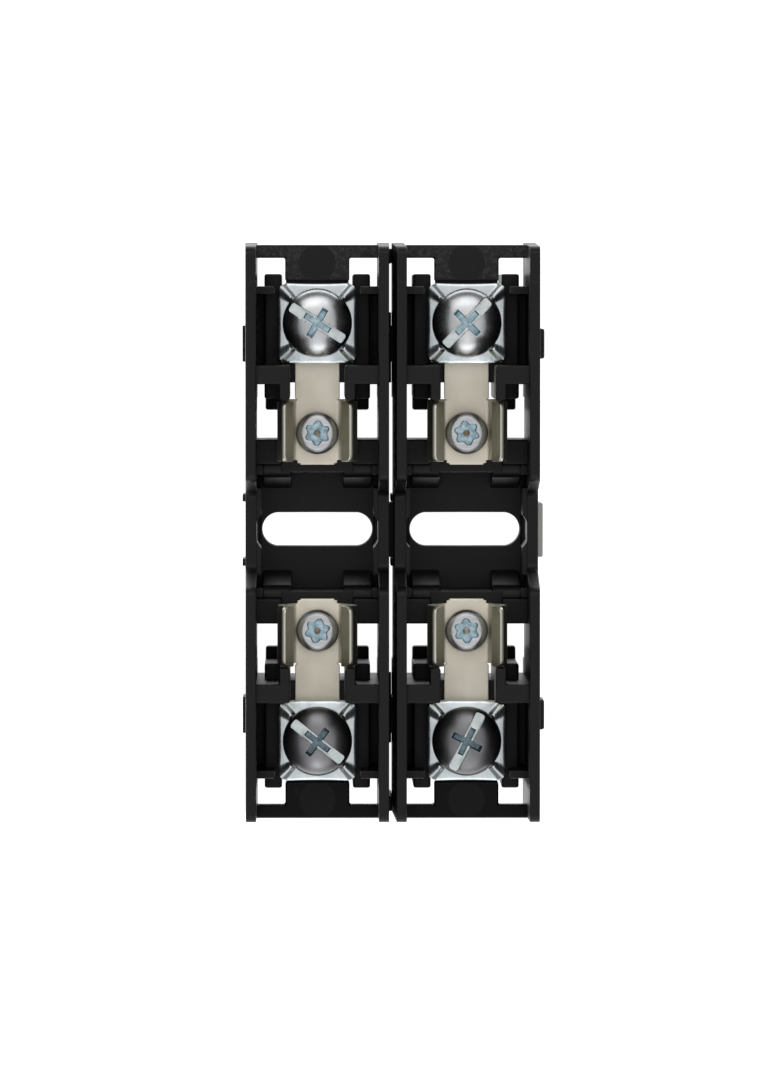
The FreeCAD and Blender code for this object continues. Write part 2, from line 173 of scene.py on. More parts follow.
def mouldedBlack(name, shine):
    shader = Shader(name)
    cloud = shader.noise(90, 4)
    speck = shader.noise(2600, 2)
    dust = shader.ramp(shader.noise(420, 5, rough=0.65), 0.64, 0.80)
    colour = shader.blend(cloud, (0.0042, 0.0040, 0.0040), (0.0068, 0.0064, 0.0063))
    colour = shader.blend(dust * 0.3, colour, (0.045, 0.042, 0.040))
    rough = 0.29 + cloud * 0.12 + speck * 0.08
    normal = shader.bump(shader.noise(5200, 3) + cloud * 0.3, 0.22, 0.00002)
    return shader.finish(Base_Color=colour, Roughness=rough, Normal=normal, Specular_IOR_Level=shine)


def paleMoulding():
    shader = Shader("paleMoulding")
    cloud = shader.noise(300, 4)
    colour = shader.blend(cloud, (0.44, 0.44, 0.43), (0.54, 0.54, 0.53))
    return shader.finish(Base_Color=colour, Roughness=0.4 + cloud * 0.15,
                         Normal=shader.bump(shader.noise(4200, 3), 0.2, 0.00002))


def grainedBlack():
    shader = Shader("grainedBlack")
    cloud = shader.noise(150, 5, rough=0.6)
    mottle = shader.ramp(shader.noise(1500, 4, rough=0.7), 0.44, 0.58)
    dust = shader.ramp(shader.noise(2600, 3, rough=0.7), 0.60, 0.70)
    colour = shader.blend(mottle, (0.0040, 0.0043, 0.0054), (0.0380, 0.0340, 0.0350))
    colour = shader.blend(dust * 0.6, colour, (0.120, 0.112, 0.120))
    rough = 0.42 + mottle * 0.2 + cloud * 0.12
    normal = shader.bump(shader.noise(1300, 4) + mottle * 0.5, 0.8, 0.0001)
    return shader.finish(Base_Color=colour, Roughness=rough, Normal=normal, Specular_IOR_Level=0.36)


def tinnedBrass(name, colour, worn, bright, roughness, grain):
    shader = Shader(name)
    rolled = shader.noise(700, 4, (1, 0.06, 1))
    stain = shader.ramp(shader.noise(160, 5, rough=0.6), 0.42, 0.75)
    tone = shader.blend(stain * 0.5, colour, worn)
    tone = shader.blend(rolled * 0.4, tone, bright)
    rough = roughness + rolled * 0.16 + stain * 0.08
    normal = shader.bump(rolled + shader.noise(3200, 2) * 0.5, grain, 0.00003)
    return shader.finish(Base_Color=tone, Metallic=1.0, Roughness=rough, Normal=normal)


def zincPlate(name, colour, worn, roughness, patch=260, grain=0.28):
    shader = Shader(name)
    cloud = shader.ramp(shader.noise(patch, 5, rough=0.6), 0.35, 0.72)
    scratch = shader.noise(1500, 3, (1, 0.12, 0.5))
    tone = shader.blend(cloud * 0.7, colour, worn)
    rough = roughness + cloud * 0.12 + scratch * 0.08
    normal = shader.bump(scratch + cloud * 0.5, grain, 0.00003)
    return shader.finish(Base_Color=tone, Metallic=1.0, Roughness=rough, Normal=normal)


def stainedPin():
    shader = Shader("stainedPin")
    stain = shader.ramp(shader.noise(900, 4), 0.35, 0.65)
    colour = shader.blend(stain, (0.42, 0.40, 0.36), (0.25, 0.19, 0.13))
    return shader.finish(Base_Color=colour, Metallic=1.0, Roughness=0.35 + stain * 0.2,
                         Normal=shader.bump(stain, 0.2, 0.00003))


plastic = mouldedBlack("mouldedBlack", shine=0.23)
# darker, less shiny copies of the moulded black for the load end's shelf and its disc: painted shade
shadedPlastic = mouldedBlack("shadedBlack", shine=0.09)
shadedDiscPlastic = mouldedBlack("shadedDiscBlack", shine=0.14)
grainedPlastic = grainedBlack()
palePlastic = paleMoulding()
clipMetal = tinnedBrass("tinnedBrass", colour=(0.90, 0.84, 0.72), worn=(0.78, 0.72, 0.59),
                        bright=(0.96, 0.92, 0.83), roughness=0.46, grain=0.35)
# a darker, shinier copy of the tinned brass for the sprung jaws: painted shade
shadedJawMetal = tinnedBrass("tinnedJawShaded", colour=(0.72, 0.70, 0.59), worn=(0.46, 0.44, 0.34),
                       bright=(0.86, 0.85, 0.76), roughness=0.30, grain=0.6)
zinc = zincPlate("zincPlate", colour=(0.66, 0.70, 0.71), worn=(0.46, 0.53, 0.57), roughness=0.15, patch=420)
slotZinc = zincPlate("zincInSlot", colour=(0.74, 0.78, 0.77), worn=(0.50, 0.58, 0.60), roughness=0.34,
                     patch=900, grain=0.9)
blueZinc = zincPlate("zincInRecess", colour=(0.50, 0.65, 0.72), worn=(0.06, 0.13, 0.18), roughness=0.24,
                     patch=1500, grain=0.6)
domeZinc = zincPlate("zincDome", colour=(0.58, 0.59, 0.60), worn=(0.46, 0.48, 0.50), roughness=0.17)
# darker copies of the dome and recess zinc for the load-end terminal screws: painted shade
shadedDome = zincPlate("zincDomeShaded", colour=(0.26, 0.26, 0.27), worn=(0.17, 0.17, 0.18), roughness=0.24)
shadedRecess = zincPlate("zincRecessShaded", colour=(0.20, 0.27, 0.31), worn=(0.03, 0.05, 0.07), roughness=0.26,
                       patch=1500, grain=0.6)
# a darker zinc for the clip screws' rounded rim: painted shade
shadedRimZinc = zincPlate("zincRimShaded", colour=(0.34, 0.34, 0.35), worn=(0.26, 0.25, 0.25), roughness=0.26)
pinMetal = stainedPin()
print("materials done")


# mesh helpers

def pick(geometry, kind):
    return [item for item in geometry if isinstance(item, kind)]


def roundOff(bm, geometry, offset, segments=2, clamp=True, affect="EDGES"):
    bmesh.ops.bevel(bm, geom=geometry, offset=offset * mm, segments=segments, profile=0.5, affect=affect,
                    clamp_overlap=clamp, material=-1)


def sharpEdges(bm, degrees):
    limit = math.radians(degrees)
    return [edge for edge in bm.edges if edge.is_manifold and edge.calc_face_angle(0) > limit]


def toMesh(bm, name):
    mesh = bpy.data.meshes.new(name)
    bm.to_mesh(mesh)
    bm.free()
    return mesh


def carve(bm, cutters):
    body = bpy.data.objects.new("carving", toMesh(bm, "carving"))
    bpy.context.collection.objects.link(body)
    tools = []
    for cutter in cutters:
        tool = bpy.data.objects.new("cutter", toMesh(cutter, "cutter"))
        bpy.context.collection.objects.link(tool)
        cut = body.modifiers.new("cut", "BOOLEAN")
        cut.operation = "DIFFERENCE"
        cut.solver = "EXACT"
        cut.object = tool
        tools.append(tool)
    carved = bmesh.new()
    carved.from_object(body, bpy.context.evaluated_depsgraph_get())
    for thing in [body] + tools:
        mesh = thing.data
        bpy.data.objects.remove(thing)
        bpy.data.meshes.remove(mesh)
    return carved


def showPiece(bm, name, body, node, materials, angle=38):
    bmesh.ops.recalc_face_normals(bm, faces=bm.faces)
    mesh = toMesh(bm, name)
    for material in materials:
        mesh.materials.append(material)
    mesh.shade_smooth()
    mesh.set_sharp_from_angle(angle=math.radians(angle))
    piece = bpy.data.objects.new(name, mesh)
    bpy.context.collection.objects.link(piece)
    even = piece.modifiers.new("even shading", "WEIGHTED_NORMAL")
    even.keep_sharp = True
    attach(piece, body)
    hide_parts(node)


def span(half):
    return (-half, half)


def brick(x, y, z, rounding=0.0):
    bm = bmesh.new()
    low = Vector((x[0], y[0], z[0])) * mm
    high = Vector((x[1], y[1], z[1])) * mm
    bmesh.ops.create_cube(bm, size=1)
    bmesh.ops.scale(bm, vec=high - low, verts=bm.verts)
    bmesh.ops.translate(bm, vec=(low + high) / 2, verts=bm.verts)
    if rounding:
        roundOff(bm, bm.edges[:], rounding)
    return bm


def thicken(bm, shift):
    # a flat outline becomes a solid, drawn out along the shift
    grown = bmesh.ops.extrude_face_region(bm, geom=bm.faces[:])["geom"]
    bmesh.ops.translate(bm, vec=Vector(shift) * mm, verts=pick(grown, bmesh.types.BMVert))
    bmesh.ops.recalc_face_normals(bm, faces=bm.faces)


def slab(corners, z, rounding=0.0):
    # corners are x and y pairs
    bm = bmesh.new()
    bm.faces.new([bm.verts.new((x * mm, y * mm, z[0] * mm)) for x, y in corners])
    thicken(bm, (0, 0, z[1] - z[0]))
    if rounding:
        roundOff(bm, bm.edges[:], rounding)
    return bm


def column(radius, z, x=0.0, y=0.0, segments=48, stretch=0.0):
    # a round bar, or an oblong one whose two half-round ends each stand that far from its middle
    bm = bmesh.new()
    bmesh.ops.create_circle(bm, cap_ends=True, radius=radius * mm, segments=segments)
    for vert in bm.verts:
        if stretch and abs(vert.co.x) > 0.001 * mm:
            vert.co.x += math.copysign(stretch * mm, vert.co.x)
    bmesh.ops.translate(bm, vec=(x * mm, y * mm, z[0] * mm), verts=bm.verts)
    thicken(bm, (0, 0, z[1] - z[0]))
    return bm


def flipped(bm, sideX, sideY):
    bmesh.ops.scale(bm, vec=(sideX, sideY, 1), verts=bm.verts)
    bmesh.ops.recalc_face_normals(bm, faces=bm.faces)
    return bm


def merge(bm, part, look=0):
    for face in part.faces:
        face.material_index = max(face.material_index, look)
    mesh = toMesh(part, "part")
    bm.from_mesh(mesh)
    bpy.data.meshes.remove(mesh)


# moulded base: sizes in mm from the middle of a pole, for the quarter at +X and +Y

into = 8.6      # how far out the blocks run, into the side wall
housing = {
    "wallTop": 33.0, "wallStep": 0.14, "wallInner": 8.15, "wallOuterTop": 9.5, "wallOuterFoot": 9.85,
    "wallRound": 0.45, "bendRound": 1.15, "endTop": 38.17, "endFoot": 38.9, "padNear": 33.5,
    "dipHeight": 19.2, "dipFoot": 5.3, "dipHead": 7.1, "railHalf": 17.8, "railSeat": 5.3,
    "floorTop": 8.6, "floorHalfX": 7.55, "floorHalfY": 5.85, "slotLength": 14.9, "slotWidth": 4.56,
    "slotRound": 0.25, "channelHalf": 3.47, "channelFar": 8.2, "channelFoot": 5.33,
    "overlap": 0.3, "deck": 19.2, "coreHalf": 3.6, "coreRound": 0.2,
    "bar": {"z": (5.35, 32.0), "rounding": 0.3,
            "outline": ((3.65, 17.8), (5.05, 17.8), (5.05, 19.9), (into, 19.9), (into, 22.4), (3.65, 22.4))},
    "shoulder": {"near": 5.55, "far": 9.1, "lean": 7.35, "foot": 5.42, "top": 19.15, "outer": 7.35,
                 "topRound": 1.3, "rounding": 0.25},
    "scallopWall": {"half": 5.8, "foot": 5.45, "step": 0.08, "driverRadius": 3.25},
    "shelf": {"outline": ((4.31, 33.6), (4.31, 36.7), (into, 36.7), (into, 38.45)), "z": (17.1, 20.6),
              "rounding": 0.25, "discY": 36.0, "discRadius": 2.45, "discFloor": 20.56,
              "discBand": (20.4, 20.58)},
    "pedestal": {"half": 4.95, "y": (7.95, 17.6), "foot": 5.36, "rounding": 0.3, "holeY": 13.25,
                 "holeRadius": 1.5, "holeFloor": 11, "coreY": (9.35, 16.2), "coreTop": 9.3},
    "nutBox": {"half": 4.9, "y": (20.0, 33.0), "foot": 0.04, "rounding": 0.2, "nutHalf": 4.1,
               "nutY": (23.9, 32.1), "nutFloor": 15.9, "boreY": 28.0, "boreRadius": 2.8,
               "bore": (7.2, 16.5), "coreY": (21.4, 31.6), "coreTop": 4},
    "key": {"x": (9.2, 10.5), "y": (-3.65, 3.65), "z": (5.35, 13.0), "rounding": 0.2,
            "root": 9.3, "play": 0.1, "drop": 0.6},
    "plugFrame": {"x": (-10.12, -9.2), "y": (22.7, 27.6), "z": (2.7, 10.4), "rounding": 0.1,
                  "root": 9.1, "rim": 0.3},
}
# each block: x, y and z spans, then rounding. Neighbours end at slightly different heights, so that no two
# faces lie in one plane
blocks = {
    "shoulder root": ((7.2, into), (7.6, 9.05), (5.44, 19.1), 0.25),
    "groove floor": ((3.6, into), (5.6, 8.8), (5.5, 8.5), 0),
    "side deck": ((4.8, into), (9.0, 12.36), (5.39, 20.0), 0.3),
    "bar": ((3.67, into), (19.92, 22.38), (0.02, 6.0), 0.3),
    "cheek": ((4.75, 7.1), (17.8, 34.57), (0.0, 18.0), 0.3),
    "rail hook": ((4.8, 7.05), (16.1, 18.2), (1.6, 4.1), 0.3),
    "ledge": ((6.9, into), (22.2, 31.9), (0.06, 12.0), 0.25),
    "cross bar": ((5.7, into), (31.8, 32.9), (0.08, 24.3), 0.25),
}
# what stands out from the outer sides, at one X side only
sideBlocks = {
    "foot pad": ((9.2, 10.1), (19.8, 29.4), (0.03, 2.4), 0.1),
    "end spacer": ((9.2, 10.1), (36.0, 38.0), (0.05, 14.0), 0.2),
    "plug": ((9.2, 10.8), (23.1, 27.2), (3.1, 10.0), 0.3),
    "tab": ((-10.1, -9.2), (3.85, 4.85), (5.35, 13.0), 0.12),
}
shelfRoot = ((-4.2, 4.2), (32.7, 34.0), (17.2, 19.1), 0.1)
# cutters start or end at these, clear of what they cut
outside = {"left": -11, "insideLeft": -9, "below": -1, "belowFloor": 0, "underPedestal": 4,
           "overFloor": 12, "overDeck": 21, "overShelf": 21.5, "overWall": 30}
# the finishes, in the order of the material slots; smooth and pressed are darker, less shiny copies of the
# plain black that paint shade on the load end's shelf and its disc
baseFinish = {"plain": plastic, "grained": grainedPlastic, "pressed": shadedDiscPlastic, "pale": palePlastic,
              "smooth": shadedPlastic}
baseLook = {name: index for index, name in enumerate(baseFinish)}


def sideWall(size):
    # seen from the side: high at both ends, low in the middle, feet either side of the rail
    low = size["wallTop"] - size["wallStep"]
    outline = [(size["railHalf"], 0), (size["endFoot"], 0), (size["endTop"], size["wallTop"]),
               (size["padNear"], size["wallTop"]), (size["padNear"] - size["wallStep"], low),
               (size["dipHead"], low), (size["dipFoot"], size["dipHeight"])]
    corners = outline + [(-y, z) for y, z in reversed(outline)]
    corners += [(-size["railHalf"], size["railSeat"]), (size["railHalf"], size["railSeat"])]
    bm = bmesh.new()
    verts = [bm.verts.new((size["wallInner"] * mm, y * mm, z * mm)) for y, z in corners]
    bm.faces.new(verts)
    rounded = [verts[i] for i in (2, 5, 6, 7, 8, 11)]      # the top's two ends, and the four bends of the dip
    roundOff(bm, rounded, size["bendRound"], 6, affect="VERTICES")
    thicken(bm, (1, 0, 0))
    for vert in bm.verts:     # the outer face is set to its draft
        if vert.co.x > (size["wallInner"] + 0.1) * mm:
            share = vert.co.z / (size["wallTop"] * mm)
            vert.co.x = (size["wallOuterFoot"] * (1 - share) + size["wallOuterTop"] * share) * mm
    roundOff(bm, sharpEdges(bm, 40), size["wallRound"], 3)
    return bm


def seatedWall(size):
    # the -X wall, with the seats for the next pole's key and plugs
    key, plug, left = size["key"], size["plugFrame"], outside["left"]
    keyY = (key["y"][0] - key["play"], key["y"][1] + key["play"])
    keyZ = (key["z"][0] - key["drop"], key["z"][1] + key["play"])
    cutters = [brick((left, -key["root"]), keyY, keyZ)]
    seatY = (plug["y"][0] + plug["rim"], plug["y"][1] - plug["rim"])
    seatZ = (plug["z"][0] + plug["rim"], plug["z"][1] - plug["rim"])
    frames = []
    for end in (1, -1):
        cutters.append(flipped(brick((left, -plug["root"]), seatY, seatZ), 1, end))
        frame = brick(plug["x"], plug["y"], plug["z"], plug["rounding"])
        frames.append(flipped(carve(frame, [brick((left, outside["insideLeft"]), seatY, seatZ)]), 1, end))
    wall = carve(flipped(sideWall(size), -1, 1), cutters)
    for frame in frames:
        merge(wall, frame)
    return wall


def shoulderBlock(size):
    # beside the middle channel, leaning back to a round top
    part = size["shoulder"]
    profile = [(part["near"], part["foot"]), (part["far"], part["foot"]), (part["far"], part["top"]),
               (part["lean"], part["top"]), (part["near"], size["floorTop"])]
    bm = bmesh.new()
    verts = [bm.verts.new((size["channelHalf"] * mm, y * mm, z * mm)) for y, z in profile]
    bm.faces.new(verts)
    roundOff(bm, [verts[3]], part["topRound"], 6, affect="VERTICES")
    thicken(bm, (part["outer"] - size["channelHalf"], 0, 0))
    roundOff(bm, sharpEdges(bm, 50), part["rounding"])
    return bm


def middleFloor(size, slotEnd):
    slot = column(size["slotWidth"] / 2, (outside["belowFloor"], outside["overFloor"]), stretch=slotEnd)
    floor = carve(brick(span(size["floorHalfX"] + size["overlap"]), span(size["floorHalfY"]),
                        (size["railSeat"], size["floorTop"])), [slot])
    # only the slot's edges lie this near the middle
    rim = [edge for edge in sharpEdges(floor, 50) if abs(edge.verts[0].co.y) < 3 * mm]
    roundOff(floor, rim, size["slotRound"], 2, False)
    return floor


def scallopWall(size, slotEnd):
    # the middle of the wall's inner side, hollowed so that a screwdriver reaches the slot's end
    part = size["scallopWall"]
    scallop = column(part["driverRadius"], (size["floorTop"], outside["overWall"]), slotEnd)
    wall = brick((size["floorHalfX"], into), span(part["half"]),
                 (part["foot"], size["dipHeight"] - part["step"]))
    return carve(wall, [scallop])


def endShelf(size, ground, pressed):
    # T-shaped, with the faint disc that an ejector pin leaves
    part = size["shelf"]
    corners = [(-x, y) for x, y in part["outline"]] + list(reversed(part["outline"]))
    bm = slab(corners, part["z"], part["rounding"])
    disc = column(part["discRadius"], (part["discFloor"], outside["overShelf"]), y=part["discY"], segments=64)
    bm = carve(bm, [disc])
    low, high = part["discBand"]      # the heights at which a face is the disc's floor
    for face in bm.faces:
        centre = face.calc_center_median() / mm
        inDisc = math.hypot(centre.x, centre.y - part["discY"]) < part["discRadius"]
        face.material_index = pressed if inDisc and low < centre.z < high else ground
    return bm


def pedestal(size):
    # under the clip, with the clip screw's hole and a cored pocket below
    part = size["pedestal"]
    hole = column(part["holeRadius"], (part["holeFloor"], outside["overDeck"]), 0, part["holeY"])
    core = brick(span(size["coreHalf"]), part["coreY"], (outside["underPedestal"], part["coreTop"]),
                 size["coreRound"])
    block = brick(span(part["half"]), part["y"], (part["foot"], size["deck"]), part["rounding"])
    return carve(block, [hole, core])


def nutBox(size):
    # under the wiring pad, with the nut's seat, the screw's bore and a cored pocket below
    part = size["nutBox"]
    seat = brick(span(part["nutHalf"]), part["nutY"], (part["nutFloor"], outside["overDeck"]))
    bore = column(part["boreRadius"], part["bore"], 0, part["boreY"])
    core = brick(span(size["coreHalf"]), part["coreY"], (outside["below"], part["coreTop"]),
                 size["coreRound"])
    block = brick(span(part["half"]), part["y"], (part["foot"], size["deck"]), part["rounding"])
    return carve(block, [seat, bore, core])


def baseModule(pole):
    size = housing
    slotEnd = (size["slotLength"] - size["slotWidth"]) / 2
    bm = bmesh.new()
    merge(bm, sideWall(size))
    merge(bm, seatedWall(size))
    # the key at the free side is pale; the one between the poles gets the plain black, painted shade for the
    # dark gap between the poles
    key = size["key"]
    keyLookWithGapShade = baseLook["pale" if pole == poles[-1] else "plain"]
    merge(bm, brick(key["x"], key["y"], key["z"], key["rounding"]), keyLookWithGapShade)
    merge(bm, middleFloor(size, slotEnd))
    for side in (1, -1):
        merge(bm, flipped(scallopWall(size, slotEnd), side, 1))
        for end in (1, -1):
            merge(bm, flipped(shoulderBlock(size), side, end))
            bar = size["bar"]
            merge(bm, flipped(slab(bar["outline"], bar["z"], bar["rounding"]), side, end))
            for x, y, z, rounding in blocks.values():
                merge(bm, flipped(brick(x, y, z, rounding), side, end))
    # the shelf is grained at the line end; at the load end it gets darker, less shiny copies of the black,
    # painted shade, with the disc a little shinier than its ground
    shelfLooks = {1: ("grained", "plain"), -1: ("smooth", "pressed")}
    for end in (1, -1):
        for x, y, z, rounding in sideBlocks.values():
            merge(bm, flipped(brick(x, y, z, rounding), 1, end))
        channelFloor = brick(span(size["channelHalf"] + size["overlap"]),
                             (size["floorHalfY"], size["channelFar"]),
                             (size["channelFoot"], size["floorTop"]))
        merge(bm, flipped(channelFloor, 1, end))
        ground, pressed = (baseLook[name] for name in shelfLooks[end])
        merge(bm, flipped(endShelf(size, ground, pressed), 1, end))
        merge(bm, flipped(brick(*shelfRoot), 1, end))
        merge(bm, flipped(pedestal(size), 1, end))
        merge(bm, flipped(nutBox(size), 1, end))

    bmesh.ops.translate(bm, vec=(middle(f"terminal_nut_line_{pole}").x, 0, 0), verts=bm.verts)
    showPiece(bm, f"basePole{pole}", "holder", f"base_pole_{pole}", list(baseFinish.values()))


# turned and threaded parts

def turned(profile, segments=72):
    # profile: radius and height pairs in mm, from the axis round to the axis again
    bm = bmesh.new()
    verts = [bm.verts.new((radius * mm, 0, height * mm)) for radius, height in profile]
    edges = [bm.edges.new(pair) for pair in zip(verts, verts[1:])]
    bmesh.ops.spin(bm, geom=verts + edges, cent=(0, 0, 0), axis=(0, 0, 1), angle=math.tau, steps=segments,
                   use_merge=True, use_duplicate=False)
    bmesh.ops.remove_doubles(bm, verts=bm.verts, dist=1e-6)
    bmesh.ops.recalc_face_normals(bm, faces=bm.faces)
    return bm


def thread(radius, pitch, low, high, depth):
    # a ridge wound up the shank, narrow at its crest
    bm = bmesh.new()
    root = radius - depth - 0.1      # sunk a little into the core
    section = ((root, 0), (radius, pitch * 0.45), (radius, pitch * 0.55), (root, pitch))
    verts = [bm.verts.new((across * mm, 0, (low + rise) * mm)) for across, rise in section]
    edges = [bm.edges.new(pair) for pair in zip(verts, verts[1:] + verts[:1])]
    perTurn = 24
    steps = int((high - low - pitch) / pitch * perTurn)
    bmesh.ops.spin(bm, geom=verts + edges, cent=(0, 0, 0), axis=(0, 0, 1), angle=math.tau * steps / perTurn,
                   dvec=(0, 0, pitch / perTurn * mm), steps=steps, use_merge=False, use_duplicate=False)
    bmesh.ops.holes_fill(bm, edges=[edge for edge in bm.edges if edge.is_boundary], sides=8)
    bmesh.ops.recalc_face_normals(bm, faces=bm.faces)
    return bm


# the shank of both kinds of screw: blunt tip, thread, and a plain neck that runs into the head
shank = {
    "tipTaper": 0.35, "tipRise": 0.8, "threadStart": 0.6, "neckLow": 0.6, "neckHigh": 0.4, "overlap": 0.1,
}


def addShank(head, size, seat):
    radius, tip = size["shankRadius"], seat - size["shankLength"]
    core, neck, inHead = radius - size["threadDeep"], seat - shank["neckLow"], seat + shank["overlap"]
    profile = [(0, tip), (core - shank["tipTaper"], tip), (core, tip + shank["tipRise"]), (core, neck),
               (radius, seat - shank["neckHigh"]), (radius, inHead), (0, inHead)]
    merge(head, turned(profile, 48))
    merge(head, thread(radius, size["pitch"], tip + shank["threadStart"], neck, size["threadDeep"]))


def placeScrew(head, node, degrees):
    centre = middle(node)
    turn = Matrix.Rotation(math.radians(degrees), 4, "Z")
    bmesh.ops.transform(head, matrix=Matrix.Translation((centre.x, centre.y, 0)) @ turn, verts=head.verts)


# terminal screw: slot right across and a cross recess

terminalScrew = {
    "headRadius": 4.65, "rim": 0.5, "dome": 2.8, "footBevel": 0.12, "slotWidth": 1.33, "slotDeep": 1.32,
    "crossReach": 2.55, "crossWidth": 1.0, "crossDeep": 2.05, "taper": 0.72, "edgeRound": 0.05,
    "shankRadius": 2.41, "shankLength": 13.0, "pitch": 0.794, "threadDeep": 0.33,
    "angles": {"terminal_screw_line_1": -32, "terminal_screw_line_2": 46,
               "terminal_screw_load_1": -38, "terminal_screw_load_2": 63},
}


def crossCutter(size, top, degrees):
    # one bar of the cross recess, narrowing to its floor
    reach, half = size["crossReach"], size["crossWidth"] / 2
    bm = brick((-reach, reach), (-half, half), (top - size["crossDeep"], top + 2))
    for vert in bm.verts:
        if vert.co.z < top * mm:
            vert.co.x *= size["taper"]
            vert.co.y *= size["taper"]
    turn = Matrix.Rotation(math.radians(degrees), 3, "Z")
    bmesh.ops.rotate(bm, cent=(0, 0, 0), matrix=turn, verts=bm.verts)
    return bm


def terminalScrewPiece(node, tail):
    size = terminalScrew
    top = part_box(node)[1].z / mm
    seat = top - size["dome"]
    radius, rise, bevel = size["headRadius"], size["dome"] - size["rim"], size["footBevel"]
    arcs = 18
    quarter = [i / arcs * math.pi / 2 for i in range(arcs)]
    dome = [(radius * math.cos(angle), seat + size["rim"] + rise * math.sin(angle)) for angle in quarter]
    head = turned([(0, seat), (radius - bevel, seat), (radius, seat + bevel)] + dome + [(0, top)])
    half, floor = size["slotWidth"] / 2, top - size["slotDeep"]
    slot = brick((-radius - 1, radius + 1), (-half, half), (floor, top + 2))
    head = carve(head, [slot, crossCutter(size, top, 0), crossCutter(size, top, 90)])
    slotLook, crossLook = 1, 2
    for face in head.faces:
        centre = face.calc_center_median() / mm
        across = min(1, math.hypot(centre.x, centre.y) / radius)
        surface = seat + size["rim"] + rise * math.sqrt(1 - across * across)
        if seat + size["rim"] < centre.z < surface - 0.08:
            alongSlot = abs(centre.y) < half + 0.02 or abs(centre.x) > size["crossReach"]
            inSlot = alongSlot and centre.z > floor - 0.03
            face.material_index = slotLook if inSlot else crossLook
    upper = [edge for edge in sharpEdges(head, 42) if edge.verts[0].co.z > (seat + 0.6) * mm]
    roundOff(head, upper, size["edgeRound"], 2, False)
    addShank(head, size, seat)
    placeScrew(head, node, size["angles"][node])
    # the load-end screws get the darker zinc copies, painted shade
    looks = [shadedDome, slotZinc, shadedRecess] if "load" in tail else [domeZinc, slotZinc, blueZinc]
    showPiece(head, "terminalScrew" + tail, "screw_" + tail, node, looks, 32)


# clip screw: six-lobe recess round a pin

clipScrew = {
    "headRadius": 2.87, "headRise": 1.9, "footBevel": 0.1, "flatShare": 0.70, "edgeRound": 0.06,
    "recessRadius": 1.62, "lobe": 0.24, "lobes": 6, "recessDeep": 1.15, "taper": 0.84,
    "pinRadius": 0.42, "pinBelow": 0.3, "pinRound": 0.12,
    "shankRadius": 1.45, "shankLength": 8.0, "pitch": 0.6, "threadDeep": 0.25,
}


def clipScrewPiece(node, tail, pole):
    size = clipScrew
    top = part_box(node)[1].z / mm
    seat = top - size["headRise"]
    radius, flat = size["headRadius"], size["headRadius"] * size["flatShare"]
    shoulder = [(flat + (radius - flat) * math.cos(math.radians(angle)),
                 seat + size["headRise"] * (0.5 + 0.5 * math.sin(math.radians(angle))))
                for angle in range(0, 91, 15)]
    bevel = size["footBevel"]
    head = turned([(0, seat), (radius - bevel, seat), (radius, seat + bevel)] + shoulder + [(0, top)], 60)
    star = column(1, (top - size["recessDeep"], top + 1), segments=72)
    for vert in star.verts:      # lobes round the rim, narrowing to the floor
        around = math.atan2(vert.co.y, vert.co.x)
        reach = size["recessRadius"] + size["lobe"] * math.cos(size["lobes"] * around)
        if vert.co.z < top * mm:
            reach *= size["taper"]
        vert.co = Vector((vert.co.x * reach, vert.co.y * reach, vert.co.z))
    head = carve(head, [star])
    recessLook, pinLook, shadedRimLook = 1, 2, 3
    for face in head.faces:      # all but the flat top; the rounded rim and sides get a darker zinc, painted shade
        centre = face.calc_center_median() / mm
        inside = math.hypot(centre.x, centre.y) < size["recessRadius"] + size["lobe"]
        if centre.z < top - 0.02 and not inside:
            face.material_index = shadedRimLook
        elif seat + 0.2 < centre.z < top - 0.02:
            face.material_index = recessLook
    upper = [edge for edge in sharpEdges(head, 42) if edge.verts[0].co.z > (top - 0.1) * mm]
    roundOff(head, upper, size["edgeRound"], 2, False)
    pin = column(size["pinRadius"], (top - size["recessDeep"] - 0.1, top - size["pinBelow"]), segments=24)
    roundOff(pin, sharpEdges(pin, 60), size["pinRound"])
    merge(head, pin, pinLook)
    addShank(head, size, seat)
    placeScrew(head, node, 17 * pole + 9 * (middle(node).y > 0))
    showPiece(head, "clipScrew" + tail, "holder", node,
              [domeZinc, blueZinc, pinMetal, shadedRimZinc], 32)


# pressure plate: hollow sides, a broad ridge to each corner, a lip towards the clip

pressurePlate = {
    "waist": 5.22, "corner": 0.18, "cornerReach": 6.85, "sheet": 1.5, "face": 21.8,
    "cornerSlack": 0.1, "edgeRound": 0.16,
    "flat": 0.80, "slope": 0.07, "roll": 0.12, "rollBand": (0.95, 1.01),
    "ridgeHalf": (0.80, 1.05), "gentle": 1.25, "steep": 0.80, "ridgeRise": 0.48, "ridgeFall": 0.12,
    "ridgeStart": (0.6, 0.5), "headRadius": 4.6, "hole": 2.6, "lipHalf": 2.5, "lipReach": 0.14,
    "lipFall": 0.12, "lipFrom": 0.8, "lipEase": (0.4, 0.5), "cells": 72,
}


def smooth(value, low, high):
    share = max(0, min(1, (value - low) / (high - low)))
    return share * share * (3 - 2 * share)


def plateHeight(size, x, y, reach, edge):
    # height of the pressed sheet at a place on it, edge running from 0 in the middle to 1 at the rim
    along = smooth(reach, size["headRadius"], size["cornerReach"])
    fall = size["slope"] * smooth(edge, size["flat"], 1) + size["roll"] * smooth(edge, *size["rollBand"])
    half = size["ridgeHalf"][0] + (size["ridgeHalf"][1] - size["ridgeHalf"][0]) * along
    offset = (abs(y) - abs(x)) / math.sqrt(2)     # a ridge falls off faster towards the plate's ends
    ridge = 1 - smooth(abs(offset), 0, half * (size["steep"] if offset > 0 else size["gentle"]))
    before, after = size["ridgeStart"]
    rise = size["ridgeRise"] * smooth(reach, size["headRadius"] - before, size["headRadius"] + after)
    return size["face"] - fall * (1 - ridge) + ridge * (rise - size["ridgeFall"] * along)


